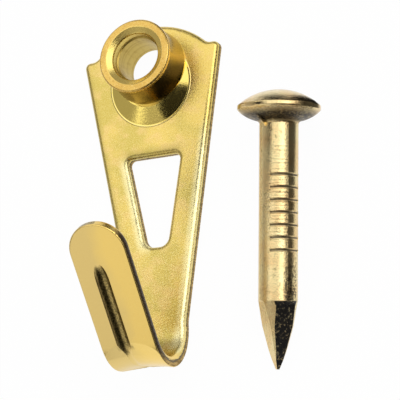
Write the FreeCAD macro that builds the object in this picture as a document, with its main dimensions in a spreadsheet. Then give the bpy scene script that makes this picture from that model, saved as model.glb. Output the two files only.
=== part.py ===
import FreeCAD, Part
import Sketcher
import math
import os

from FreeCAD import Placement, Rotation, Vector

# Picture hook: a folded sheet-metal hook, the nail guide pressed into it, and its nail.
# Lengths are in millimetres and angles in degrees.
# The origin is where the guide's axis crosses the wall face. +X is to the right, +Y up the wall and
# +Z out of the wall. The hook lies on its wall face, and the nail lies beside it.

SIZES = {
    # Sheet and its edges: rolled by the blanking die in front, only broken behind
    "sheet_thickness": 0.85,
    "edge_roll": 0.4,
    "edge_break": 0.1,
    # Back plate: ears and arch at the top, straight taper down to the strip that is folded up
    "ear_width": 11.14,
    "ear_level": 1.38,
    "ear_corner": 0.45,
    "arch_width": 9.1,
    "arch_radius": 6.3,
    "arch_blend": 0.8,
    "strip_width": 4.1,
    "taper_end": 19.0,
    "taper_blend": 2.0,
    # Window
    "window_top": 6.69,
    "window_bottom": 13.43,
    "window_top_width": 4.3,
    "window_bottom_width": 1.7,
    "window_top_corner": 0.4,
    "window_bottom_corner": 0.78,
    # Fold and lip
    "fold_level": 19.33,
    "fold_inner_radius": 2.29,
    "lip_angle": 36,
    "lip_length": 9.24,
    # Stiffening groove pressed along the lip and round the fold
    "groove_radius": 0.55,
    "groove_depth": 0.32,
    "groove_end_gap": 4.25,
    "groove_runout_radius": 2.5,
    "groove_runout_angle": 35,
    "groove_lead": 1.0,
    "groove_shift": -0.3,
    # Shallow saddle across the foot of the fold
    "saddle_radius": 8.0,
    "saddle_depth": 0.28,
    "saddle_turn": 35,
    "saddle_runout": 3.0,
    # Round seat pressed forward under the guide, hollow behind
    "seat_radius": 3.2,
    "seat_drop": 1.2,
    "seat_slope": 17,
    "hollow_radius": 2.4,
    # Nail guide
    "guide_tilt": 4,
    "guide_reach": 3.6,
    "guide_wall_gap": 0.05,
    "ring_radius": 2.8,
    "ring_thickness": 0.45,
    "ring_edge": 0.15,
    "neck_radius": 2.62,
    "neck_foot_radius": 2.9,
    "spigot_radius": 2.1,
    "spigot_clearance": 0.02,
    "mouth_radius": 2.25,
    "mouth_depth": 0.27,
    "mouth_edge": 0.14,
    "throat_radius": 1.8,
    "throat_taper": 0.03,
    "throat_depth": 0.9,
    "throat_step": 0.08,
    "nail_clearance": 0.3,
    # Nail, measured from its tip to the plane of the head's rim
    "nail_length": 18.06,
    "shank_radius": 1.36,
    "head_radius": 2.9,
    "dome_height": 1.15,
    "rim_thickness": 0.26,
    "rim_edge": 0.12,
    "underside_height": 0.75,
    "underside_curve": 2.6,
    "underside_blend": 0.3,
    "point_length": 4.66,
    "shoulder_length": 2.9,
    "shoulder_radius": 1.06,
    "nose_length": 1.28,
    "nose_radius": 0.62,
    "tip_half_width": 0.09,
    "facet_step": 0.28,
    "side_facet_step": 0.06,
    "facet_nose_radius": 0.48,
    "mark_start": 4.83,
    "mark_pitch": 0.86,
    "mark_count": 7,
    "mark_depth": 0.09,
    "mark_half_width": 0.13,
    "mark_spread": 110,
    "fin_thickness": 0.14,
    "fin_reach": 1.25,
    "fin_height": 0.75,
    "fin_turn": 17,
    # Where the nail lies
    "nail_tip_x": 8.85,
    "nail_tip_y": -22.97,
    "nail_turn": 5.94,
    "nail_roll": -40,
}

doc = FreeCAD.newDocument("PictureHook")

sheet = doc.addObject("Spreadsheet::Sheet", "Sizes")
for row, (name, number) in enumerate(SIZES.items(), start=1):
    sheet.set(f"A{row}", name)
    sheet.set(f"B{row}", str(number))
    sheet.setAlias(f"B{row}", name)
doc.recompute()


def value(expression):
    return float(sheet.evalExpression(expression))


# Sizes that follow from the driving ones
FOLD_OUTER = "(Sizes.fold_inner_radius + Sizes.sheet_thickness)"
STRIP_HALF = "Sizes.strip_width / 2"
# The two fillets at an ear share its ledge: the outer one may take half of it, the inner one the rest
EAR_LEDGE = "((Sizes.ear_width - Sizes.arch_width) / 2)"
EAR_CORNER = f"min(Sizes.ear_corner; {EAR_LEDGE} * 0.45)"
ARCH_BLEND = f"min(Sizes.arch_blend; {EAR_LEDGE} * 0.8)"
# The roll along the edges stays inside the ears' corner radius
EDGE_ROLL = f"min(Sizes.edge_roll; {EAR_CORNER} * 0.9)"
GROOVE_PATH_RADIUS = f"({FOLD_OUTER} + Sizes.groove_radius - Sizes.groove_depth)"
SADDLE_PATH_RADIUS = f"({FOLD_OUTER} + Sizes.saddle_radius - Sizes.saddle_depth)"
GROOVE_RUN = "(Sizes.lip_length - Sizes.groove_end_gap)"
# The neck's upper edge comes down level with the front of the plate
SEAT_HEIGHT = (
    "((Sizes.sheet_thickness + Sizes.neck_foot_radius * sin(Sizes.guide_tilt))"
    " / cos(Sizes.guide_tilt))"
)
# The spigot's square end stays clear of the wall face at its lowest edge
SPIGOT_END = (
    "((Sizes.guide_wall_gap + Sizes.spigot_radius * sin(Sizes.guide_tilt)) / cos(Sizes.guide_tilt))"
)
BORE_RADIUS = "(Sizes.shank_radius + Sizes.nail_clearance)"
HEAD_FOOT = "(Sizes.nail_length - Sizes.rim_thickness)"
NECK_TOP = f"({HEAD_FOOT} - Sizes.underside_height)"


def new_body(label):
    body = doc.addObject("PartDesign::Body", label)
    body.Label = label
    return body


def origin_feature(body, role):
    return next(feature for feature in body.Origin.OriginFeatures if feature.Role == role)


def new_sketch(body, name, plane, offset=None, turn=None, about=Vector(1, 0, 0)):
    # offset maps x, y or z of the plane's own frame to an expression, turn is an angle about one of its axes
    sketch = body.newObject("Sketcher::SketchObject", name)
    sketch.AttachmentSupport = [(origin_feature(body, plane), "")]
    sketch.MapMode = "FlatFace"
    if turn:
        sketch.AttachmentOffset = Placement(Vector(), Rotation(about, value(turn)))
        sketch.setExpression("AttachmentOffset.Rotation.Angle", turn)
    for direction, expression in (offset or {}).items():
        sketch.setExpression(f"AttachmentOffset.Base.{direction}", expression)
    return sketch


def hold(sketch, kind, place, expression):
    # One driving constraint, bound to the sheet; a coordinate of nought lies on the axis instead
    if expression == "0":
        axis = -2 if kind == "DistanceX" else -1
        sketch.addConstraint(Sketcher.Constraint("PointOnObject", *place, axis))
    else:
        constraint = Sketcher.Constraint(kind, -1, 1, *place, value(expression))
        index = sketch.addConstraint(constraint)
        sketch.setExpression(f"Constraints[{index}]", expression)


def circle(sketch, centre, radius):
    x, y = centre
    middle = Vector(value(x), value(y), 0)
    index = sketch.addGeometry(Part.Circle(middle, Vector(0, 0, 1), value(radius)), False)
    hold(sketch, "DistanceX", (index, 3), x)
    hold(sketch, "DistanceY", (index, 3), y)
    size = sketch.addConstraint(Sketcher.Constraint("Radius", index, value(radius)))
    sketch.setExpression(f"Constraints[{size}]", radius)


def chain(sketch, corners, arcs=None, closed=True):
    # Sides from corner to corner. arcs maps a side's number to its centre (x, y) and to what is held:
    # the centre's "x", its "y", or a radius given as an expression.
    arcs = arcs or {}
    points = [Vector(value(x), value(y), 0) for x, y in corners]
    count = len(points) if closed else len(points) - 1
    ends = []
    for side in range(count):
        start = points[side]
        stop = points[(side + 1) % len(points)]
        if side not in arcs:
            index = sketch.addGeometry(Part.LineSegment(start, stop), False)
            ends.append(((index, 1), (index, 2)))
            continue
        centre_x, centre_y, held = arcs[side]
        centre = Vector(value(centre_x), value(centre_y), 0)
        to_start = start - centre
        to_stop = stop - centre
        forward = to_start.cross(to_stop).z > 0 or abs(to_start.cross(to_stop).z) < 1e-9
        first, last = (to_start, to_stop) if forward else (to_stop, to_start)
        round_side = Part.Circle(centre, Vector(0, 0, 1), to_start.Length)
        angle_from = math.atan2(first.y, first.x)
        angle_to = math.atan2(last.y, last.x)
        if angle_to < angle_from:
            angle_to += 2 * math.pi
        index = sketch.addGeometry(Part.ArcOfCircle(round_side, angle_from, angle_to), False)
        ends.append(((index, 1), (index, 2)) if forward else ((index, 2), (index, 1)))
        if held == "x":
            hold(sketch, "DistanceX", (index, 3), centre_x)
        elif held == "y":
            hold(sketch, "DistanceY", (index, 3), centre_y)
        else:
            size = sketch.addConstraint(Sketcher.Constraint("Radius", index, to_start.Length))
            sketch.setExpression(f"Constraints[{size}]", held)
    for side in range(count if closed else count - 1):
        meeting = ends[(side + 1) % count][0]
        sketch.addConstraint(Sketcher.Constraint("Coincident", *ends[side][1], *meeting))
    places = [pair[0] for pair in ends]
    if not closed:
        places.append(ends[-1][1])
    for place, (x, y) in zip(places, corners):
        hold(sketch, "DistanceX", place, x)
        hold(sketch, "DistanceY", place, y)


def bowed(start, stop, radius):
    # Arc from start to stop that bows to the right of that way
    (x_from, y_from), (x_to, y_to) = start, stop
    along_x = f"({x_to} - {x_from})"
    along_y = f"({y_to} - {y_from})"
    chord = f"sqrt({along_x} ^ 2 + {along_y} ^ 2)"
    reach = f"sqrt({radius} ^ 2 - ({chord} / 2) ^ 2) / {chord}"
    centre_x = f"({x_from} + {x_to}) / 2 - {along_y} * {reach}"
    centre_y = f"({y_from} + {y_to}) / 2 + {along_x} * {reach}"
    return centre_x, centre_y, radius


def add_feature(body, kind, name, profile=None, **settings):
    # A text setting that names the sheet is an expression, any other setting is a plain value
    feature = body.newObject(f"PartDesign::{kind}", name)
    if profile is not None:
        feature.Profile = profile
        profile.Visibility = False
    for setting, content in settings.items():
        if isinstance(content, str) and "Sizes." in content:
            feature.setExpression(setting, content)
        else:
            setattr(feature, setting, content)
    body.Tip = feature
    doc.recompute()
    return feature


def cut_feature(body, kind, name, profile=None, **settings):
    before = body.Shape.Volume
    feature = add_feature(body, kind, name, profile, **settings)
    if not body.Shape.Volume < before:
        raise RuntimeError(f"{name} removes nothing")
    return feature


def round_edges(body, name, radius, chosen):
    # Fillets the edges of the body for which chosen is true
    base = body.Tip
    names = [f"Edge{number}" for number, edge in enumerate(base.Shape.Edges, start=1) if chosen(edge)]
    if not names:
        raise RuntimeError(f"{name} finds no edge")
    return add_feature(body, "Fillet", name, Base=(base, names), Radius=radius)


def upright_at(*places):
    # Chooses the edges along Z that stand at one of the places
    spots = [(value(x), value(y)) for x, y in places]

    def chosen(edge):
        box = edge.BoundBox
        along = box.ZLength > 0.5 * box.DiagonalLength
        return along and any(
            math.hypot(box.Center.x - x, box.Center.y - y) < 1e-3 for x, y in spots
        )

    return chosen


def ring_at(*places):
    # Chooses the full circles about Z with one of the given radii and heights
    rings = [(value(radius), value(height)) for radius, height in places]

    def chosen(edge):
        if edge.Degenerated or not isinstance(edge.Curve, Part.Circle):
            return False
        return any(
            abs(edge.Curve.Radius - radius) < 1e-3 and abs(edge.Curve.Center.z - height) < 1e-3
            for radius, height in rings
        )

    return chosen


def skin_border(shape, on_skin):
    # Chooses the edges round a skin of faces: those that only one face of the skin has
    faces = [face for face in shape.Faces if on_skin(face)]

    def chosen(edge):
        owners = [face for face in faces if any(edge.isSame(other) for other in face.Edges)]
        return len(owners) == 1

    return chosen


def folded_skin(plate_normal, fold_radius, lip_normal):
    # Tells whether a face belongs to one skin of the folded sheet: plate, fold or lip
    def on_skin(face):
        surface = face.Surface
        if isinstance(surface, Part.Cylinder):
            across = abs(surface.Axis.x) > 0.999
            return across and abs(surface.Radius - fold_radius) < 1e-3
        if isinstance(surface, Part.Plane):
            normal = face.normalAt(0, 0)
            return any((normal - wanted).Length < 1e-3 for wanted in (plate_normal, lip_normal))
        return False

    return on_skin


def build_plate(body):
    outline = new_sketch(body, "plate_outline", "XY_Plane")
    arch_centre = "Sizes.ear_level - sqrt(Sizes.arch_radius ^ 2 - (Sizes.arch_width / 2) ^ 2)"
    chain(outline, [
        (STRIP_HALF, "-Sizes.fold_level"),
        (STRIP_HALF, "-Sizes.taper_end"),
        ("Sizes.ear_width / 2", "Sizes.ear_level"),
        ("Sizes.arch_width / 2", "Sizes.ear_level"),
        ("-Sizes.arch_width / 2", "Sizes.ear_level"),
        ("-Sizes.ear_width / 2", "Sizes.ear_level"),
        (f"-{STRIP_HALF}", "-Sizes.taper_end"),
        (f"-{STRIP_HALF}", "-Sizes.fold_level"),
    ], arcs={3: ("0", arch_centre, "y")})
    add_feature(body, "Pad", "plate", outline, Length="Sizes.sheet_thickness")

    window = new_sketch(body, "window_outline", "XY_Plane")
    chain(window, [
        ("Sizes.window_bottom_width / 2", "-Sizes.window_bottom"),
        ("Sizes.window_top_width / 2", "-Sizes.window_top"),
        ("-Sizes.window_top_width / 2", "-Sizes.window_top"),
        ("-Sizes.window_bottom_width / 2", "-Sizes.window_bottom"),
    ])
    cut_feature(body, "Pocket", "window", window, Type="ThroughAll", Reversed=True)

    for name, radius, x, y in [
        ("ear_corners", EAR_CORNER, "Sizes.ear_width / 2", "Sizes.ear_level"),
        ("arch_feet", ARCH_BLEND, "Sizes.arch_width / 2", "Sizes.ear_level"),
        ("taper_ends", "Sizes.taper_blend", STRIP_HALF, "-Sizes.taper_end"),
        ("window_top_corners", "Sizes.window_top_corner",
         "Sizes.window_top_width / 2", "-Sizes.window_top"),
        ("window_bottom_corners", "Sizes.window_bottom_corner",
         "Sizes.window_bottom_width / 2", "-Sizes.window_bottom"),
    ]:
        round_edges(body, name, radius, upright_at((x, y), (f"-{x}", y)))


def build_fold_and_lip(body):
    section = new_sketch(
        body, "fold_section", "XZ_Plane", {"y": FOLD_OUTER, "z": "Sizes.fold_level"}
    )
    chain(section, [
        (f"-{STRIP_HALF}", f"-{FOLD_OUTER}"),
        (STRIP_HALF, f"-{FOLD_OUTER}"),
        (STRIP_HALF, "-Sizes.fold_inner_radius"),
        (f"-{STRIP_HALF}", "-Sizes.fold_inner_radius"),
    ])
    add_feature(
        body, "Revolution", "fold", section,
        ReferenceAxis=(section, ["H_Axis"]), Angle="180 - Sizes.lip_angle", Reversed=True,
    )

    # The lip's outline lies in its outer face
    outline = new_sketch(body, "lip_outline", "XY_Plane", {
        "y": f"-Sizes.fold_level - {FOLD_OUTER} * sin(Sizes.lip_angle)",
        "z": f"{FOLD_OUTER} * (1 + cos(Sizes.lip_angle))",
    }, turn="Sizes.lip_angle")
    shoulder = f"Sizes.lip_length - {STRIP_HALF}"
    chain(outline, [
        (f"-{STRIP_HALF}", "0"),
        (STRIP_HALF, "0"),
        (STRIP_HALF, shoulder),
        (f"-{STRIP_HALF}", shoulder),
    ], arcs={2: ("0", shoulder, "y")})
    add_feature(body, "Pad", "lip", outline, Length="Sizes.sheet_thickness", Reversed=True)


def soften_sheet_edges(body):
    lean = math.radians(value("Sizes.lip_angle"))
    outward = Vector(0, -math.sin(lean), math.cos(lean))
    front = folded_skin(Vector(0, 0, 1), value("Sizes.fold_inner_radius"), -outward)
    back = folded_skin(Vector(0, 0, -1), value(FOLD_OUTER), outward)
    round_edges(body, "front_edges", EDGE_ROLL, skin_border(body.Tip.Shape, front))
    round_edges(body, "back_edges", "Sizes.edge_break", skin_border(body.Tip.Shape, back))


def press_groove(body):
    # A ball-ended tool follows the fold from straight below and lifts off along the lip
    foot = f"-Sizes.fold_level - {GROOVE_PATH_RADIUS}"
    bend_y = f"-Sizes.fold_level - {GROOVE_PATH_RADIUS} * sin(Sizes.lip_angle)"
    bend_z = f"{FOLD_OUTER} + {GROOVE_PATH_RADIUS} * cos(Sizes.lip_angle)"
    run_y = f"{bend_y} + {GROOVE_RUN} * cos(Sizes.lip_angle)"
    run_z = f"{bend_z} + {GROOVE_RUN} * sin(Sizes.lip_angle)"
    lift = "(Sizes.lip_angle + Sizes.groove_runout_angle)"
    centre_y = f"{run_y} - Sizes.groove_runout_radius * sin(Sizes.lip_angle)"
    centre_z = f"{run_z} + Sizes.groove_runout_radius * cos(Sizes.lip_angle)"
    path = new_sketch(body, "groove_path", "YZ_Plane", {"z": "Sizes.groove_shift"})
    chain(path, [
        (foot, "-Sizes.groove_lead"),
        (foot, FOLD_OUTER),
        (bend_y, bend_z),
        (run_y, run_z),
        (f"{centre_y} + Sizes.groove_runout_radius * sin({lift})",
         f"{centre_z} - Sizes.groove_runout_radius * cos({lift})"),
    ], arcs={
        1: ("-Sizes.fold_level", FOLD_OUTER, "x"),
        3: (centre_y, centre_z, "x"),
    }, closed=False)
    tool = new_sketch(body, "groove_tool", "XY_Plane", {"z": "-Sizes.groove_lead"})
    circle(tool, ("Sizes.groove_shift", foot), "Sizes.groove_radius")
    path.Visibility = False
    doc.recompute()
    cut_feature(body, "SubtractivePipe", "groove", tool, Spine=(path, []))


def press_saddle(body):
    # A broad tool goes the same way round the foot of the fold and lifts off before the lip
    foot = f"-Sizes.fold_level - {SADDLE_PATH_RADIUS}"
    lift_y = f"-Sizes.fold_level - {SADDLE_PATH_RADIUS} * cos(Sizes.saddle_turn)"
    lift_z = f"{FOLD_OUTER} + {SADDLE_PATH_RADIUS} * sin(Sizes.saddle_turn)"
    path = new_sketch(body, "saddle_path", "YZ_Plane")
    chain(path, [
        (foot, "-Sizes.groove_lead"),
        (foot, FOLD_OUTER),
        (lift_y, lift_z),
        (f"{lift_y} + Sizes.saddle_runout * sin(Sizes.saddle_turn)",
         f"{lift_z} + Sizes.saddle_runout * cos(Sizes.saddle_turn)"),
    ], arcs={1: ("-Sizes.fold_level", FOLD_OUTER, "x")}, closed=False)
    tool = new_sketch(body, "saddle_tool", "XY_Plane", {"z": "-Sizes.groove_lead"})
    circle(tool, ("0", foot), "Sizes.saddle_radius")
    path.Visibility = False
    doc.recompute()
    cut_feature(body, "SubtractivePipe", "saddle", tool, Spine=(path, []))


def on_guide_axis(distance):
    # Offset of a sketch plane that stands square to the guide's axis, so far from the origin
    return {
        "y": f"{distance} * sin(Sizes.guide_tilt)",
        "z": f"{distance} * cos(Sizes.guide_tilt)",
    }


def under_seat(distance):
    # Where the middle of the pressed seat falls on such a plane
    return f"-(Sizes.seat_drop + {distance} * sin(Sizes.guide_tilt)) / cos(Sizes.guide_tilt)"


def press_seat(body):
    # A cone stands on the plate, and the plane that carries the guide cuts it off at a slant
    cone = new_sketch(body, "seat_cone", "YZ_Plane", {"x": "-Sizes.seat_drop"})
    chain(cone, [
        ("0", "Sizes.sheet_thickness / 2"),
        ("Sizes.seat_radius", "Sizes.sheet_thickness / 2"),
        ("Sizes.seat_radius", "Sizes.sheet_thickness"),
        ("0", "Sizes.sheet_thickness + Sizes.seat_radius * tan(Sizes.seat_slope)"),
    ])
    add_feature(body, "Revolution", "seat", cone, ReferenceAxis=(cone, ["V_Axis"]), Angle=360)

    tilt = "-Sizes.guide_tilt"
    collar = new_sketch(body, "collar_outline", "XY_Plane", on_guide_axis(SEAT_HEIGHT), tilt)
    circle(collar, ("0", "0"), "Sizes.neck_foot_radius")
    add_feature(
        body, "Pad", "collar", collar,
        Length=f"{SEAT_HEIGHT} - Sizes.sheet_thickness / 2", Reversed=True,
    )

    slant = new_sketch(body, "seat_plane", "XY_Plane", on_guide_axis(SEAT_HEIGHT), tilt)
    circle(slant, ("0", under_seat(SEAT_HEIGHT)), "Sizes.seat_radius")
    cut_feature(body, "Pocket", "seat_face", slant, Type="ThroughAll", Reversed=True)

    floor = f"({SEAT_HEIGHT} - Sizes.sheet_thickness)"
    hollow = new_sketch(body, "hollow_floor", "XY_Plane", on_guide_axis(floor), tilt)
    circle(hollow, ("0", under_seat(floor)), "Sizes.hollow_radius")
    cut_feature(body, "Pocket", "hollow", hollow, Type="ThroughAll")

    hole = new_sketch(body, "guide_hole_outline", "XY_Plane", on_guide_axis(SEAT_HEIGHT), tilt)
    circle(hole, ("0", "0"), "Sizes.spigot_radius + Sizes.spigot_clearance")
    cut_feature(body, "Pocket", "guide_hole", hole, Type="ThroughAll")


def build_hook_plate():
    body = new_body("hook_plate")
    build_plate(body)
    build_fold_and_lip(body)
    soften_sheet_edges(body)
    press_groove(body)
    press_saddle(body)
    press_seat(body)
    return body


def build_nail_guide():
    # Turned about its own Z axis, then tilted so that its mouth looks up the wall
    body = new_body("nail_guide")
    profile = new_sketch(body, "guide_profile", "XZ_Plane")
    ring_back = "Sizes.guide_reach - Sizes.ring_thickness"
    chain(profile, [
        (BORE_RADIUS, SPIGOT_END),
        ("Sizes.spigot_radius", SPIGOT_END),
        ("Sizes.spigot_radius", SEAT_HEIGHT),
        ("Sizes.neck_foot_radius", SEAT_HEIGHT),
        ("Sizes.neck_radius", ring_back),
        ("Sizes.ring_radius", ring_back),
        ("Sizes.ring_radius", "Sizes.guide_reach"),
        ("Sizes.mouth_radius", "Sizes.guide_reach"),
        ("Sizes.throat_radius", "Sizes.guide_reach - Sizes.mouth_depth"),
        ("Sizes.throat_radius - Sizes.throat_taper",
         "Sizes.guide_reach - Sizes.throat_depth + Sizes.throat_step"),
        (BORE_RADIUS, "Sizes.guide_reach - Sizes.throat_depth"),
    ])
    add_feature(body, "Revolution", "turned", profile, ReferenceAxis=(profile, ["V_Axis"]), Angle=360)
    round_edges(body, "ring_edges", "Sizes.ring_edge", ring_at(
        ("Sizes.ring_radius", "Sizes.guide_reach"), ("Sizes.ring_radius", ring_back),
    ))
    round_edges(body, "mouth_edges", "Sizes.mouth_edge", ring_at(
        ("Sizes.mouth_radius", "Sizes.guide_reach"),
        ("Sizes.throat_radius", "Sizes.guide_reach - Sizes.mouth_depth"),
    ))
    body.Placement = Placement(Vector(), Rotation(Vector(-1, 0, 0), value("Sizes.guide_tilt")))
    body.setExpression("Placement.Rotation.Angle", "Sizes.guide_tilt")
    return body


def build_nail():
    # Upright about its own Z axis, tip at the origin, then laid down
    body = new_body("nail")
    profile = new_sketch(body, "nail_profile", "XZ_Plane")
    dome_centre = (
        "Sizes.nail_length + Sizes.dome_height"
        " - (Sizes.head_radius ^ 2 + Sizes.dome_height ^ 2) / (2 * Sizes.dome_height)"
    )
    tip = ("2 * Sizes.tip_half_width", "0")
    nose = ("Sizes.nose_radius", "Sizes.nose_length")
    shoulder = ("Sizes.shoulder_radius", "Sizes.shoulder_length")
    shank_end = ("Sizes.shank_radius", "Sizes.point_length")
    shank_top = ("Sizes.shank_radius", NECK_TOP)
    rim_foot = ("Sizes.head_radius", HEAD_FOOT)
    rim_top = ("Sizes.head_radius", "Sizes.nail_length")
    crown = ("0", "Sizes.nail_length + Sizes.dome_height")
    chain(profile, [
        ("0", "0"), tip, nose, shoulder, shank_end, shank_top, rim_foot, rim_top, crown,
    ], arcs={
        5: bowed(shank_top, rim_foot, "Sizes.underside_curve"),
        7: ("0", dome_centre, "x"),
    })
    add_feature(body, "Revolution", "blank", profile, ReferenceAxis=(profile, ["V_Axis"]), Angle=360)
    round_edges(body, "rim_edges", "Sizes.rim_edge", ring_at(rim_foot, rim_top))
    round_edges(body, "underside_blend", "Sizes.underside_blend", ring_at(shank_top))

    fin = new_sketch(body, "fin_outline", "YZ_Plane", turn="Sizes.fin_turn", about=Vector(0, 1, 0))
    fin_root = "-(Sizes.shank_radius - 2 * Sizes.fin_thickness)"
    fin_top = f"{HEAD_FOOT} - Sizes.fin_thickness"
    chain(fin, [
        (fin_root, f"{NECK_TOP} - Sizes.fin_height"),
        ("-Sizes.shank_radius - Sizes.fin_reach", fin_top),
        (fin_root, fin_top),
    ])
    add_feature(body, "Pad", "fin", fin, Length="Sizes.fin_thickness", SideType="Symmetric")

    marks = new_sketch(body, "mark_section", "XZ_Plane")
    height = "Sizes.nail_length - Sizes.mark_start"
    for side in ("", "-"):
        outside = f"{side}(Sizes.shank_radius + Sizes.mark_depth)"
        chain(marks, [
            (outside, f"{height} - 2 * Sizes.mark_half_width"),
            (outside, f"{height} + 2 * Sizes.mark_half_width"),
            (f"{side}(Sizes.shank_radius - Sizes.mark_depth)", height),
        ])
    mark = cut_feature(
        body, "Groove", "first_marks", marks,
        ReferenceAxis=(marks, ["V_Axis"]), Angle="Sizes.mark_spread", Midplane=True,
    )
    cut_feature(
        body, "LinearPattern", "marks", Originals=[mark], Direction=(marks, ["V_Axis"]), Reversed=True,
        Length="Sizes.mark_pitch * (Sizes.mark_count - 1)", Occurrences="Sizes.mark_count",
    )

    # Four flats pinched into the coned end of the blank, two of them deep, each with a ledge at its top
    clear = "2 * Sizes.shank_radius"
    for name, plane, step in [
        ("facet", "XZ_Plane", "Sizes.facet_step"),
        ("side_facet", "YZ_Plane", "Sizes.side_facet_step"),
    ]:
        point = new_sketch(body, f"{name}_outline", plane)
        chain(point, [
            (f"Sizes.shank_radius - {step}", f"Sizes.point_length - {step}"),
            ("Sizes.facet_nose_radius", "Sizes.nose_length"),
            ("Sizes.tip_half_width", "0"),
            ("Sizes.tip_half_width", "-Sizes.shank_radius"),
            (clear, "-Sizes.shank_radius"),
            (clear, "Sizes.point_length + Sizes.shank_radius"),
        ])
        facet = cut_feature(
            body, "Pocket", name, point, Length="4 * Sizes.shank_radius", SideType="Symmetric",
        )
        cut_feature(
            body, "PolarPattern", f"{name}s", Originals=[facet],
            Axis=(origin_feature(body, "Z_Axis"), [""]), Angle=360, Occurrences=2,
        )
    lay_down(body)
    return body


def lay_down(body):
    # It rests on the head's rim and on the end of the round shank
    lean = math.atan2(
        value("Sizes.head_radius - Sizes.shank_radius"), value(f"{HEAD_FOOT} - Sizes.point_length")
    )
    height = (
        value("Sizes.shank_radius") * math.cos(lean) - value("Sizes.point_length") * math.sin(lean)
    )
    turn = Rotation(Vector(0, 0, 1), -value("Sizes.nail_turn"))
    tip_over = Rotation(Vector(1, 0, 0), math.degrees(lean) - 90)
    roll = Rotation(Vector(0, 0, 1), value("Sizes.nail_roll"))
    place = Vector(value("Sizes.nail_tip_x"), value("Sizes.nail_tip_y"), height)
    body.Placement = Placement(place, turn * tip_over * roll)


pieces = [build_hook_plate(), build_nail_guide(), build_nail()]
doc.recompute()

for item in doc.Objects:
    if "Invalid" in item.State or "Error" in item.State:
        raise RuntimeError(f"{item.Label} did not build: {item.State}")
for piece in pieces:
    if piece.Shape.isNull() or not piece.Shape.isValid():
        raise RuntimeError(f"{piece.Label} has no valid shape")

os.makedirs("parts", exist_ok=True)
for piece in pieces:
    piece.Shape.exportStep(f"parts/{piece.Label}.step")
    box = piece.Shape.BoundBox
    print(f"{piece.Label}: {box.XLength:.2f} x {box.YLength:.2f} x {box.ZLength:.2f} mm,",
          f"{piece.Shape.Volume:.1f} mm3, {len(piece.Shape.Solids)} solid")
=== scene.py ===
import math

import bpy
from mathutils import Matrix, Vector

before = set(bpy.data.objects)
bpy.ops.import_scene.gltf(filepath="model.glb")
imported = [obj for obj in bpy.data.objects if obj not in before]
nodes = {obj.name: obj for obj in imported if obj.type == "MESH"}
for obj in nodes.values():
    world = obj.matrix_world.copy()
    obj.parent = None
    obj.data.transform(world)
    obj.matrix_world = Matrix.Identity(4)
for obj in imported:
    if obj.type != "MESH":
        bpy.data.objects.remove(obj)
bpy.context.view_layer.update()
print("frame loaded:", sorted(nodes))

millimetre = 0.001
acrossWall = (1.0, 0.0, 0.0)  # axes of the part
upWall = (0.0, 1.0, 0.0)
offWall = (0.0, 0.0, 1.0)


# shader expressions

class Wire:
    def __init__(self, tree, socket):
        self.tree = tree
        self.socket = socket

    def calc(self, operation, first, second):
        maths = self.tree.nodes.new("ShaderNodeMath")
        maths.operation = operation
        for slot, term in zip(maths.inputs, (first, second)):
            if isinstance(term, Wire):
                self.tree.links.new(term.socket, slot)
            else:
                slot.default_value = term
        return Wire(self.tree, maths.outputs[0])

    def __add__(self, other):
        return self.calc("ADD", self, other)

    def __radd__(self, other):
        return self.calc("ADD", other, self)

    def __sub__(self, other):
        return self.calc("SUBTRACT", self, other)

    def __rsub__(self, other):
        return self.calc("SUBTRACT", other, self)

    def __mul__(self, other):
        return self.calc("MULTIPLY", self, other)

    def __rmul__(self, other):
        return self.calc("MULTIPLY", other, self)

    def __abs__(self):
        return self.calc("ABSOLUTE", self, 0.0)

    def larger(self, other):
        return self.calc("MAXIMUM", self, other)

    def smaller(self, other):
        return self.calc("MINIMUM", self, other)

    def below(self, limit):  # 1 or 0
        return self.calc("LESS_THAN", self, limit)

    def other(self, name):  # another output of the same node
        return Wire(self.tree, self.socket.node.outputs[name])


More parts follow.
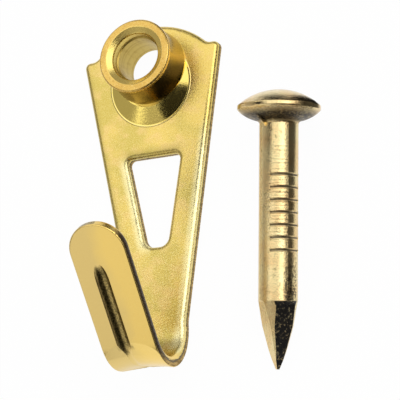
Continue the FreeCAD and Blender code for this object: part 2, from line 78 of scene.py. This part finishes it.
class Finish:
    def __init__(self, tree):
        self.tree = tree
        tree.nodes.clear()

    def add(self, kind, settings=None, sockets=None, out=0):
        node = self.tree.nodes.new(kind)
        for name, setting in (settings or {}).items():
            setattr(node, name, setting)
        for name, content in (sockets or {}).items():
            if isinstance(content, Wire):
                self.tree.links.new(content.socket, node.inputs[name])
            else:
                node.inputs[name].default_value = content
        return Wire(self.tree, node.outputs[out]) if node.outputs else None

    def ramp(self, wire, low, high, least=0.0, most=1.0):  # smoothly from least at low to most at high
        return self.add("ShaderNodeMapRange", {"interpolation_type": "SMOOTHSTEP"}, {
            "Value": wire, "From Min": low, "From Max": high, "To Min": least, "To Max": most,
        })

    def fade(self, wire, low, high):  # 1 below low, 0 above high
        return self.ramp(wire, low, high, 1.0, 0.0)

    def band(self, wire, low, high, soft):  # 1 from low to high, with soft ends inside them
        return self.ramp(wire, low, low + soft) * self.fade(wire, high - soft, high)

    def mix(self, share, colourA, colourB):
        return self.add("ShaderNodeMix", {"data_type": "RGBA"}, {
            0: share, 6: colourA, 7: colourB,
        }, out=2)

    def vector(self, operation, first, second=(0.0, 0.0, 0.0), out="Vector"):
        return self.add("ShaderNodeVectorMath", {"operation": operation}, {
            0: first, 1: second,
        }, out)

    def dot(self, vector, direction):
        return self.vector("DOT_PRODUCT", vector, direction, "Value")

    def size(self, vector):
        return self.vector("LENGTH", vector, out="Value")

    def fromAxis(self, vector, axis):  # distance from a line through the origin
        return self.size(self.vector("CROSS_PRODUCT", vector, axis))

    def noise(self, where, scale, detail, roughness):
        return self.add("ShaderNodeTexNoise", {}, {
            "Vector": where, "Scale": scale, "Detail": detail, "Roughness": roughness,
        })

    def lineNoise(self, along, scale):  # changes along one line only
        return self.add("ShaderNodeTexNoise", {"noise_dimensions": "1D"}, {
            "W": along, "Scale": scale,
        })

    def placeMm(self):  # place on the object in millimetres, in the CAD frame
        place = self.add("ShaderNodeTexCoord", out="Object")
        return self.add("ShaderNodeVectorMath", {"operation": "SCALE"}, {
            0: place, "Scale": 1 / millimetre,
        })

    def metal(self, tone, rough, heightMm):
        bump = self.add("ShaderNodeBump", {}, {
            "Strength": 1.0, "Distance": millimetre, "Height": heightMm,
        })
        shader = self.add("ShaderNodeBsdfPrincipled", {}, {
            "Base Color": tone, "Metallic": 1.0, "Roughness": rough, "Normal": bump,
        })
        self.add("ShaderNodeOutputMaterial", {}, {"Surface": shader})


def newFinish(name):
    material = bpy.data.materials.new(name)
    material.use_nodes = True
    return material, Finish(material.node_tree)


def dress(nodeName, material):
    mesh = nodes[nodeName].data
    mesh.materials.clear()
    mesh.materials.append(material)


def rgb(red, green, blue):
    return (red, green, blue, 1.0)


# In the settings below, a noise is its scale per mm, detail and roughness. A pair is where a ramp
# or a fade starts and ends, and two more numbers are a ramp's values at those places.

# back plate, fold and lip

sheetLook = {
    "thickness": 0.85,                   # mm and degrees as in the CAD, down to windowEdge
    "foldLevel": -19.33,
    "foldOuter": 3.14,
    "lipAngle": 36.0,
    "grooveShift": -0.3,
    "seatMiddle": (0.0, -1.2, 0.85),
    "seatRadius": 3.2,
    "plateEdge": (5.57, 1.38, 0.1702, 0.9854),     # a point of the right edge and its direction
    "windowEdge": (2.15, -6.69, 0.1894, 0.9819),   # the same for the window's right side

    "patchNoise": (0.35, 2.0, 0.55),
    "blotchNoise": (0.9, 3.0, 0.6),
    "grainNoise": (7.0, 4.0, 0.65),      # grain of the plating
    "sparkleNoise": (11.9, 2.0, 0.6),
    "wallNoise": (1.0, 3.0, 0.55),       # on the cut walls, stretched by wallStretch
    "wallStretch": (9.0, 9.0, 1.5),

    "lipFrom": (1.3, 2.6),               # mm off the wall
    "seatRim": (-0.04, 0.06),            # mm outside the seat's radius
    "creaseWidth": (0.0, 0.09),          # mm, bead round the pressed seat, with a painted highlight on it
    "calmLevel": (-11.0, -3.0, 0.0, 0.45),         # the grain is calmer higher up the plate
    "calmLip": 0.9,
    "calmSeat": 0.85,

    "wallFacing": (0.25, 0.6),           # how far a surface faces off the wall, or sideways
    "lipWallFacing": (0.7, 0.95),
    "frontFacing": (0.2, 0.5),
    "wallRagged": 0.35,                  # shares of the sheet's thickness, in this entry and the next three
    "brokenTo": (0.37, 0.47),            # broken instead of cut
    "wallShadeFrom": (0.37, 0.45),
    "wallShadeTo": (0.53, 0.65),

    "grooveFoot": (-0.5, 0.1),           # mm up the lip
    "grooveSide": (0.55, 0.65),          # mm from the groove's line
    "grooveShadeFrom": (0.015, 0.20),          # mm deep, in the groove of the lip
    "grooveShadeTo": (0.45, 0.55),

    # painted highlight along the lower right edge and beside the window's left side
    "rightEdgeHighlight": (0.25, 0.85),             # mm from the edge
    "rightEdgeHighlightTop": (-7.5, -3.5),          # mm up the wall
    "windowHighlight": (0.20, 0.85),           # mm from the window's left side
    "windowHighlightSpan": (-14.2, -6.3, 1.2),           # mm up the wall, and its soft ends
    "windowHighlightSide": (-0.6, -0.3),
    # painted shade along the left edge and above the window
    "leftEdgeShade": (0.15, 0.75),
    "windowShadeFrom": (-0.5, -0.3),      # mm above the window
    "windowShadeTo": (0.20, 0.95),
    "windowShadeSide": (-0.3, 0.5),       # mm outside its corners

    "gold": rgb(0.75, 0.56, 0.147),
    "olive": rgb(0.60, 0.47, 0.112),
    "goldPatches": (0.38, 0.62),
    "rosy": rgb(0.80, 0.56, 0.22),
    "rosyBlotches": (0.45, 0.68, 0.0, 0.6),
    "lip": rgb(0.78, 0.58, 0.21),
    "warm": rgb(0.92, 0.66, 0.19),       # right half of the lip
    "warmFrom": (0.8, 2.6),              # mm across
    "warmWander": 3.0,                   # mm
    "bright": rgb(0.95, 0.82, 0.36),
    "sparkleShare": (0.45, 0.70, 0.0, 0.68),
    # painted highlight on the bead round the seat
    "creaseHighlightShare": (0.35, 0.55, 0.0, 0.7),
    # painted shade in the groove of the lip
    "grooveShade": rgb(0.13, 0.10, 0.035),
    "grooveShadeShare": (0.4, 0.6, 0.55, 0.95),
    # colour of the painted shade beside the edges
    "edgeShade": rgb(0.40, 0.32, 0.085),
    "edgeShadeShare": 0.6,
    # colour of the painted highlight beside the edges
    "edgeHighlight": rgb(0.98, 0.90, 0.50),
    "edgeHighlightShare": (0.35, 0.6, 0.6, 0.95),
    "seat": rgb(0.97, 0.77, 0.20),
    "seatShare": 0.85,
    "sheared": rgb(0.30, 0.20, 0.08),    # the broken walls are of these two
    "tan": rgb(0.66, 0.48, 0.21),
    "tanStreaks": (0.42, 0.62),
    "brokenShare": 0.9,
    # painted shade on the cut walls and the lip's side walls
    "wallShade": rgb(0.035, 0.02, 0.01),
    "wallShadeShare": 0.9,
    "lipWallShadeShare": (3.5, 5.5, 0.0, 0.92),         # mm off the wall, for painted shade on the lip's side walls

    "grainHeight": 0.027,                # mm
    "brokenHeight": 0.0405,
    "creaseHeight": 0.03,
    "plateRoughness": 0.26,
    "lipRoughness": 0.28,
    "seatRoughness": 0.11,
    "brokenRoughness": 0.45,             # these two are added
    "grainRoughness": 0.3,
}


def sheetDepth(fin, where, look):  # mm from the wall-side skin of the folded sheet, and up the lip
    lean = math.radians(look["lipAngle"])
    foldAxis = (0.0, look["foldLevel"], look["foldOuter"])
    fromFold = fin.vector("SUBTRACT", where, foldAxis)
    radius = fin.size(fin.vector("MULTIPLY", fromFold, (0.0, 1.0, 1.0)))
    outward = fin.dot(fromFold, (0.0, -math.sin(lean), math.cos(lean)))
    upLip = fin.dot(fromFold, (0.0, math.cos(lean), math.sin(lean)))
    upPlate = fin.dot(fromFold, upWall)
    out = fin.dot(where, offWall)
    flat = out.smaller(look["foldOuter"] - outward)
    inFold = upPlate.below(0.0) * upLip.below(0.0)
    return flat + inFold * (look["foldOuter"] - radius - flat), upLip


def fromSlant(edge, across, level):  # mm inside a slanting edge
    x, y, slant, rise = edge
    return (x - across) * rise - (y - level) * slant


def paintedEdgeLightAndShade(fin, across, level, look):  # bands beside the edges: painted highlight, and painted shade
    mirrored = 0 - across
    # painted highlight along the lower right edge and beside the window's left side
    edgeHighlight = fin.fade(fromSlant(look["plateEdge"], across, level), *look["rightEdgeHighlight"])
    edgeHighlight = edgeHighlight * fin.fade(level, *look["rightEdgeHighlightTop"])
    beside = fin.fade(0 - fromSlant(look["windowEdge"], mirrored, level), *look["windowHighlight"])
    beside = beside * fin.band(level, *look["windowHighlightSpan"])
    beside = beside * fin.fade(across, *look["windowHighlightSide"])

    # painted shade along the left edge and above the window
    edgeShading = fin.fade(fromSlant(look["plateEdge"], mirrored, level), *look["leftEdgeShade"])
    windowHalf, windowTop = look["windowEdge"][:2]
    above = level - windowTop
    over = fin.ramp(above, *look["windowShadeFrom"]) * fin.fade(above, *look["windowShadeTo"])
    over = over * fin.fade(abs(across) - windowHalf, *look["windowShadeSide"])
    return edgeHighlight.larger(beside), edgeShading.larger(over)


def sheetFinish(look):
    material, fin = newFinish("platedSheet")
    where = fin.placeMm()
    across = fin.dot(where, acrossWall)
    level = fin.dot(where, upWall)
    out = fin.dot(where, offWall)
    normal = fin.add("ShaderNodeNewGeometry", out="Normal")
    facesOut = fin.dot(normal, offWall)
    facesSide = fin.dot(normal, acrossWall)
    onLip = fin.ramp(out, *look["lipFrom"])

    patches = fin.noise(where, *look["patchNoise"])
    blotches = fin.noise(where, *look["blotchNoise"])
    grain = fin.noise(where, *look["grainNoise"])
    sparkle = fin.noise(where, *look["sparkleNoise"])
    streak = fin.noise(fin.vector("MULTIPLY", where, look["wallStretch"]), *look["wallNoise"])

    # the pressed seat is burnished by its punch
    offSeat = fin.vector("DISTANCE", where, look["seatMiddle"], "Value") - look["seatRadius"]
    onSeat = fin.fade(offSeat, *look["seatRim"])
    crease = fin.fade(abs(offSeat), *look["creaseWidth"])
    calm = fin.ramp(level, *look["calmLevel"])
    calm = calm.larger(onLip * look["calmLip"]).larger(onSeat * look["calmSeat"])

    # cut walls: burnished near the front, broken and dull behind a band of painted shade
    depthMm, upLip = sheetDepth(fin, where, look)
    depth = depthMm * (1 / look["thickness"]) + (streak - 0.5) * look["wallRagged"]
    lipWall = fin.ramp(abs(facesSide), *look["lipWallFacing"])
    onWall = fin.fade(abs(facesOut), *look["wallFacing"]) * (1 - onLip) + lipWall * onLip
    broken = onWall * fin.fade(depth, *look["brokenTo"])
    # band of painted shade across the cut walls
    wallShade = onWall * fin.ramp(depth, *look["wallShadeFrom"]) * fin.fade(depth, *look["wallShadeTo"])

    # painted shade in the groove of the lip
    inGroove = fin.ramp(upLip, *look["grooveFoot"]) * (1 - lipWall)
    inGroove = inGroove * fin.fade(abs(across - look["grooveShift"]), *look["grooveSide"])
    inGroove = inGroove * fin.ramp(depthMm, *look["grooveShadeFrom"]) * fin.fade(depthMm, *look["grooveShadeTo"])

    onFront = (1 - onLip) * fin.ramp(facesOut, *look["frontFacing"])
    edgeHighlight, edgeShading = paintedEdgeLightAndShade(fin, across, level, look)

    tone = fin.mix(fin.ramp(patches, *look["goldPatches"]), look["olive"], look["gold"])
    tone = fin.mix(fin.ramp(blotches, *look["rosyBlotches"]), tone, look["rosy"])
    tone = fin.mix(onLip, tone, look["lip"])
    warm = fin.ramp(across + patches * look["warmWander"], *look["warmFrom"])
    tone = fin.mix(onLip * warm, tone, look["warm"])
    tone = fin.mix(fin.ramp(sparkle, *look["sparkleShare"]) * (1 - calm), tone, look["bright"])
    tone = fin.mix(inGroove * fin.ramp(grain, *look["grooveShadeShare"]), tone, look["grooveShade"])
    # painted shade beside the left edge and above the window
    tone = fin.mix(edgeShading * onFront * look["edgeShadeShare"], tone, look["edgeShade"])
    # painted highlight beside the right edge and the window's left side
    tone = fin.mix(edgeHighlight * onFront * fin.ramp(sparkle, *look["edgeHighlightShare"]), tone, look["edgeHighlight"])
    tone = fin.mix(onSeat * look["seatShare"], tone, look["seat"])
    # painted highlight along the bead round the seat
    tone = fin.mix(crease * fin.ramp(grain, *look["creaseHighlightShare"]), tone, look["bright"])
    breakTone = fin.mix(fin.ramp(streak, *look["tanStreaks"]), look["sheared"], look["tan"])
    tone = fin.mix(broken * look["brokenShare"], tone, breakTone)
    # painted shade on the cut walls and the lip's side walls
    tone = fin.mix(wallShade * look["wallShadeShare"], tone, look["wallShade"])
    tone = fin.mix(lipWall * fin.ramp(out, *look["lipWallShadeShare"]), tone, look["wallShade"])

    height = grain * (1 - calm) * look["grainHeight"] + streak * broken * look["brokenHeight"]
    height = height + crease * look["creaseHeight"]
    rough = look["plateRoughness"] + (grain - 0.5) * look["grainRoughness"] * (1 - calm)
    rough = rough + onLip * (look["lipRoughness"] - look["plateRoughness"])
    rough = rough + onSeat * (look["seatRoughness"] - look["plateRoughness"])
    rough = rough + broken * look["brokenRoughness"]
    fin.metal(tone, rough, height)
    return material


dress("hook_plate", sheetFinish(sheetLook))
print("hook plate dressed")


# nail guide

bushLook = {
    "axis": (0.0, 0.0698, 0.9976),       # as in the CAD
    "ringFrom": (3.10, 3.25),            # mm along the axis
    "boreRadius": (1.84, 1.92),          # mm from the axis
    "boreTo": (3.24, 3.44),              # mm along it
    "stepAt": 2.70,
    "stepWidth": (0.03, 0.09),
    "mouthFrom": (1.74, 1.80),           # mm from the axis
    "mouthTo": (2.15, 2.35),
    "mouthFoot": (2.75, 2.85),           # mm along it

    "grainNoise": (7.0, 4.0, 0.65),
    "patchNoise": (0.8, 2.0, 0.55),
    "boreNoise": (1.0, 4.0, 0.55),       # stretched by boreStretch
    "boreStretch": (3.0, 3.0, 1.0),
    "ringScale": 3.5,                    # turned rings in the bore, per mm

    "gold": rgb(0.73, 0.49, 0.125),
    "deep": rgb(0.64, 0.41, 0.10),
    "goldPatches": (0.35, 0.65),
    "pale": rgb(0.84, 0.63, 0.25),
    "paleGrain": (0.5, 0.68, 0.0, 0.55),
    "fleck": rgb(0.40, 0.24, 0.07),
    "fleckGrain": (0.32, 0.44, 0.55, 0.0),
    # painted shade on the neck under the ring
    "neck": rgb(0.40, 0.29, 0.09),
    "neckShadeShare": 0.9,
    "neckReflection": rgb(0.05, 0.035, 0.012),
    "neckReflectionSide": (0.77, -0.64, 0.0),  # the side of the neck where a dark reflection is painted
    "neckReflectionShare": (1.90, 2.50, 0.0, 0.95),      # mm towards that side
    "bore": rgb(0.60, 0.45, 0.115),
    "boreShare": 0.55,
    "boreStreaks": 0.45,                 # added by the streaks
    "boreDark": rgb(0.36, 0.24, 0.05),
    "darkStreaks": (0.45, 0.75, 0.0, 0.5),
    "darkRings": (0.48, 0.62, 0.0, 0.45),
    "darkStep": 0.3,
    "mouth": rgb(0.95, 0.75, 0.23),      # painted highlight on the flared mouth
    "mouthHighlightShare": 0.75,

    "grainHeight": 0.016,                # mm
    "neckGrain": 0.6,                    # shares of that height
    "mouthGrain": 0.4,
    "ringRoughness": 0.27,
    "neckRoughness": 0.22,
    "boreRoughness": 0.36,
    "mouthRoughness": 0.22,
    "grainRoughness": 0.2,               # added
}


def bushFinish(look):
    material, fin = newFinish("platedBush")
    where = fin.placeMm()
    along = fin.dot(where, look["axis"])
    radius = fin.fromAxis(where, look["axis"])
    onRing = fin.ramp(along, *look["ringFrom"])
    grain = fin.noise(where, *look["grainNoise"])
    patches = fin.noise(where, *look["patchNoise"])
    streak = fin.noise(fin.vector("MULTIPLY", where, look["boreStretch"]), *look["boreNoise"])
    rings = fin.lineNoise(along, look["ringScale"])

    # ring and neck
    tone = fin.mix(fin.ramp(patches, *look["goldPatches"]), look["deep"], look["gold"])
    tone = fin.mix(fin.ramp(grain, *look["paleGrain"]) * onRing, tone, look["pale"])
    tone = fin.mix(fin.ramp(grain, *look["fleckGrain"]) * onRing, tone, look["fleck"])
    # painted shade on the neck under the ring
    tone = fin.mix((1 - onRing) * look["neckShadeShare"], tone, look["neck"])
    # painted dark reflection on the lower right of the neck
    darkReflection = fin.ramp(fin.dot(where, look["neckReflectionSide"]), *look["neckReflectionShare"])
    tone = fin.mix(darkReflection * (1 - onRing), tone, look["neckReflection"])

    # the bore is left as drilled: dull, with streaks, rings and a dark line at its step
    inBore = fin.fade(radius, *look["boreRadius"]) * fin.fade(along, *look["boreTo"])
    step = inBore * fin.fade(abs(along - look["stepAt"]), *look["stepWidth"])
    tone = fin.mix(inBore * (look["boreShare"] + streak * look["boreStreaks"]), tone, look["bore"])
    worn = fin.ramp(streak, *look["darkStreaks"]) + fin.ramp(rings, *look["darkRings"])
    tone = fin.mix(inBore * worn + step * look["darkStep"], tone, look["boreDark"])

    # painted highlight on the flared mouth
    inMouth = fin.ramp(radius, *look["mouthFrom"]) * fin.fade(radius, *look["mouthTo"])
    inMouth = inMouth * fin.ramp(along, *look["mouthFoot"])
    tone = fin.mix(inMouth * look["mouthHighlightShare"], tone, look["mouth"])

    height = grain * look["grainHeight"] * (look["neckGrain"] + onRing * (1 - look["neckGrain"]))
    height = height * (1 - inMouth * (1 - look["mouthGrain"]))
    rough = look["neckRoughness"] + onRing * (look["ringRoughness"] - look["neckRoughness"])
    rough = rough + inBore * (look["boreRoughness"] - look["neckRoughness"])
    rough = rough + inMouth * (look["mouthRoughness"] - look["ringRoughness"])
    rough = rough + (grain - 0.5) * look["grainRoughness"]
    fin.metal(tone, rough, height)
    return material


dress("nail_guide", bushFinish(bushLook))
print("nail guide dressed")


# nail

nailLook = {
    "tip": (8.85, -22.97, 0.808),        # mm, as in the CAD down to facetLean
    "axis": (0.1028, 0.9879, 0.1164),
    "facetSide": (0.754, -0.154, 0.639),
    "facetLean": 0.175,                  # tilt of the facet towards the tip, as a sine
    "pointTo": (4.61, 4.71),             # mm from the tip
    "shankTo": (16.45, 16.75),
    "headFrom": (17.7, 17.8),

    "grainNoise": (9.0, 4.0, 0.6),
    "pitNoise": (5.0, 5.0, 0.7),
    "patchNoise": (0.6, 3.0, 0.55),
    "ringScale": 6.0,                    # fine rings left between the marks by the grip, per mm
    "ringSpan": (8.6, 15.6, 0.6),        # mm from the tip, and its soft ends

    "facetFacing": (0.93, 0.975),        # painted dark reflection on the pinched facet
    "ledgeFrom": (4.32, 4.38),           # mm from the tip
    "ledgeOff": (1.0, 1.06),             # mm from the axis
    "facetPits": (0.36, 0.46, 0.6, 1.0),
    "creviceFrom": (16.75, 17.10),       # painted shade under the head, mm from the tip
    "creviceTo": (17.30, 17.80),
    "crevicePits": (0.35, 0.55, 0.6, 0.95),
    "markRadius": (1.26, 1.345),         # in the marks, mm from the axis
    "markPits": (0.35, 0.55, 0.75, 1.0),
    "fringeSide": (0.88, -0.14, 0.45),   # painted dark reflection that strays up the shank
    "fringeFacing": (0.87, 0.96),
    "fringeTo": (5.2, 8.8),              # mm from the tip
    "fringePits": (0.42, 0.53, 0.0, 0.85),

    "pale": rgb(0.82, 0.68, 0.36),
    "gold": rgb(0.80, 0.57, 0.27),
    "goldPatches": (0.3, 0.7),
    "speck": rgb(0.30, 0.24, 0.09),
    "speckPits": (0.55, 0.67, 0.0, 0.6),
    # painted dark reflection and shade, and the darker marks
    "scale": rgb(0.024, 0.022, 0.02),

    "grainHeight": 0.018,                # mm
    "scaleHeight": 0.072,
    "ringHeight": 0.0252,
    "shankRoughness": 0.23,
    "headRoughness": 0.10,
    "scaleRoughness": 0.4,
    "grainRoughness": 0.15,              # added
}


def nailFinish(look):
    material, fin = newFinish("platedNail")
    where = fin.placeMm()
    fromTip = fin.vector("SUBTRACT", where, look["tip"])
    along = fin.dot(fromTip, look["axis"])
    radius = fin.fromAxis(fromTip, look["axis"])
    normal = fin.add("ShaderNodeNewGeometry", out="Normal")
    grain = fin.noise(where, *look["grainNoise"])
    pits = fin.noise(where, *look["pitNoise"])
    patches = fin.noise(where, *look["patchNoise"])
    onPoint = fin.fade(along, *look["pointTo"])
    onShank = (1 - onPoint) * fin.fade(along, *look["shankTo"])
    onHead = fin.ramp(along, *look["headFrom"])

    # painted dark reflection on one facet of the point and its ledge, painted shade under the head,
    # and darker pits in the marks
    side = Vector(look["facetSide"])
    lean = look["facetLean"]
    facet = side * math.sqrt(1 - lean * lean) - Vector(look["axis"]) * lean
    ledge = fin.ramp(along, *look["ledgeFrom"])
    ledge = ledge * fin.ramp(fin.dot(fromTip, side), *look["ledgeOff"])
    pinched = fin.ramp(fin.dot(normal, facet), *look["facetFacing"]).larger(ledge)
    pinched = pinched * onPoint * fin.ramp(pits, *look["facetPits"])
    crevice = fin.ramp(along, *look["creviceFrom"]) * fin.fade(along, *look["creviceTo"])
    crevice = crevice * fin.ramp(pits, *look["crevicePits"])
    marks = onShank * fin.fade(radius, *look["markRadius"]) * fin.ramp(pits, *look["markPits"])
    dark = pinched.larger(crevice).larger(marks)
    fringe = onShank * fin.ramp(fin.dot(normal, look["fringeSide"]), *look["fringeFacing"])
    fringe = fringe * fin.fade(along, *look["fringeTo"]) * fin.ramp(pits, *look["fringePits"])

    tone = fin.mix(fin.ramp(patches, *look["goldPatches"]), look["pale"], look["gold"])
    tone = fin.mix(fin.ramp(pits, *look["speckPits"]), tone, look["speck"])
    # painted dark reflection and shade, with darker marks
    tone = fin.mix(dark.larger(fringe), tone, look["scale"])

    rings = fin.lineNoise(along, look["ringScale"]) * fin.band(along, *look["ringSpan"])
    height = grain * look["grainHeight"] + rings * look["ringHeight"]
    height = height + pits * dark * look["scaleHeight"]
    rough = look["shankRoughness"] + (grain - 0.5) * look["grainRoughness"]
    rough = rough + onHead * (look["headRoughness"] - look["shankRoughness"])
    rough = rough + dark * (look["scaleRoughness"] - look["shankRoughness"])
    fin.metal(tone, rough, height)
    return material


dress("nail", nailFinish(nailLook))
print("nail dressed")


# studio: floor, surroundings, lamps and cards

studioLook = {
    "floorSize": 3.0,             # m
    "floorDrop": 0.00002,         # m below the wall face
    "floorColour": rgb(0.92, 0.92, 0.92),
    "floorWhite": 0.97,           # share of plain white that the camera and the metal see
    "bright": rgb(0.42, 0.40, 0.37),
    "dim": rgb(0.04, 0.035, 0.03),
    "brightSide": (-0.62, 0.31, 0.72),
    "brightFrom": (-0.10, 0.60),
    "lampTarget": (0.003, -0.010, 0.0),    # m
}


def buildRectangle(name, width, height):  # for the floor and the cards
    halfWidth, halfHeight = width / 2, height / 2
    corners = [
        (-halfWidth, -halfHeight, 0), (halfWidth, -halfHeight, 0),
        (halfWidth, halfHeight, 0), (-halfWidth, halfHeight, 0),
    ]
    mesh = bpy.data.meshes.new(name)
    mesh.from_pydata(corners, [], [(0, 1, 2, 3)])
    rectangle = bpy.data.objects.new(name, mesh)
    bpy.context.scene.collection.objects.link(rectangle)
    return rectangle


def buildFloor(look):
    floor = buildRectangle("floor", look["floorSize"], look["floorSize"])
    floor.location.z = -look["floorDrop"]
    material, fin = newFinish("paleFloor")
    ray = fin.add("ShaderNodeLightPath", out="Is Camera Ray")
    seen = ray + ray.other("Is Glossy Ray") + ray.other("Is Transmission Ray")
    matt = fin.add("ShaderNodeBsdfDiffuse", {}, {"Color": look["floorColour"]})
    white = fin.add("ShaderNodeEmission", {}, {"Color": rgb(1, 1, 1), "Strength": 1.0})
    shader = fin.add("ShaderNodeMixShader", {}, {0: seen * look["floorWhite"], 1: matt, 2: white})
    fin.add("ShaderNodeOutputMaterial", {}, {"Surface": shader})
    floor.data.materials.append(material)


def buildSurroundings(look):
    world = bpy.data.worlds.new("studio")
    world.use_nodes = True
    fin = Finish(world.node_tree)
    towards = fin.add("ShaderNodeTexCoord", out="Generated")
    brightSide = Vector(look["brightSide"]).normalized()
    share = fin.ramp(fin.dot(towards, brightSide), *look["brightFrom"])
    sky = fin.add("ShaderNodeBackground", {}, {
        "Color": fin.mix(share, look["dim"], look["bright"]), "Strength": 1.0,
    })
    fin.add("ShaderNodeOutputWorld", {}, {"Surface": sky})
    bpy.context.scene.world = world


softboxes = {  # name: direction from the target, distance m, width m, height m, radiance
    "keySoftbox": ((-0.20, 0.36, 0.91), 0.45, 0.58, 0.56, 0.85),
    "frontSoftbox": ((-0.50, -0.74, 0.45), 0.45, 0.38, 0.26, 0.65),
    "sideSoftbox": ((0.69, 0.26, 0.67), 0.45, 0.38, 0.60, 1.35),
    "stripSoftbox": ((0.70, 0.10, 0.71), 0.44, 0.12, 0.40, 1.2),
}


def buildSoftbox(name, target, direction, distance, width, height, radiance):
    lamp = bpy.data.lights.new(name, "AREA")
    lamp.shape = "RECTANGLE"
    lamp.size = width
    lamp.size_y = height
    lamp.energy = radiance * math.pi * width * height
    softbox = bpy.data.objects.new(name, lamp)
    away = Vector(direction).normalized()
    level = (Vector(acrossWall) - away * away.x).normalized()  # its width lies along this
    turn = Matrix((level, away.cross(level), away)).transposed()
    place = Vector(target) + away * distance
    softbox.matrix_world = Matrix.Translation(place) @ turn.to_4x4()
    bpy.context.scene.collection.objects.link(softbox)


flags = {  # dark cards: middle mm, direction that they face, width mm, height mm, turn degrees, tone
    "sideFlag": ((17, -12, 2.25), (-1, 0, 0), 50, 4.5, 0, 0.11),
    "lowFlag": ((15.8, -12, 0.02), (0, 0, 1), 2.4, 50, 0, 0.11),
    "backFlag": ((26, 30, 2.5), (0, -1, 0), 48, 5.5, 0, 0.02),
    "backFloorFlag": ((26, 18.5, 0.03), (0, 0, 1), 48, 23, 0, 0.02),
    "headFloorFlag": ((17, 2.5, 0.03), (0, 0, 1), 8.8, 13, 0, 0.02),
    "grooveFlag": ((20, -62, 22), (-0.3, 0.9, 0.1), 40, 40, 0, 0.02),
    "seatFlag": ((3.6, -4.6, 14), (0, 0, -1), 11, 6.5, -48, 0.02),
}


def buildFlag(name, middle, facing, width, height, turn, tone):
    flag = buildRectangle(name, width * millimetre, height * millimetre)
    pose = Vector(facing).to_track_quat("Z", "Y").to_matrix().to_4x4()
    spin = Matrix.Rotation(math.radians(turn), 4, "Z")
    flag.matrix_world = Matrix.Translation(Vector(middle) * millimetre) @ pose @ spin
    flag.visible_camera = False
    flag.visible_diffuse = False
    flag.visible_shadow = False
    material, fin = newFinish(name)
    card = fin.add("ShaderNodeBsdfDiffuse", {}, {"Color": rgb(tone, tone, tone)})
    fin.add("ShaderNodeOutputMaterial", {}, {"Surface": card})
    flag.data.materials.append(material)


buildFloor(studioLook)
buildSurroundings(studioLook)
for boxName, boxFacts in softboxes.items():
    buildSoftbox(boxName, studioLook["lampTarget"], *boxFacts)
for flagName, flagFacts in flags.items():
    buildFlag(flagName, *flagFacts)
print("studio built")


# camera, at the photograph's viewing angle

cameraSettings = {
    "place": (41.80, -33.205, 90.52),       # mm
    "right": (0.9159, -0.0382, -0.3996),
    "up": (0.1251, 0.9731, 0.1936),
    "back": (0.3815, -0.2273, 0.8960),
    "lens": 126.0,                          # mm
    "sensor": 36.0,
    "clip": (0.01, 10.0),                   # m
}


def buildCamera(settings):
    data = bpy.data.cameras.new("photoView")
    data.lens = settings["lens"]
    data.sensor_width = settings["sensor"]
    data.clip_start, data.clip_end = settings["clip"]
    camera = bpy.data.objects.new("photoView", data)
    turn = Matrix((settings["right"], settings["up"], settings["back"])).transposed()
    place = Vector(settings["place"]) * millimetre
    camera.matrix_world = Matrix.Translation(place) @ turn.to_4x4()
    bpy.context.scene.collection.objects.link(camera)
    bpy.context.scene.camera = camera


buildCamera(cameraSettings)
bpy.context.scene.view_settings.view_transform = "Standard"
print("camera set")
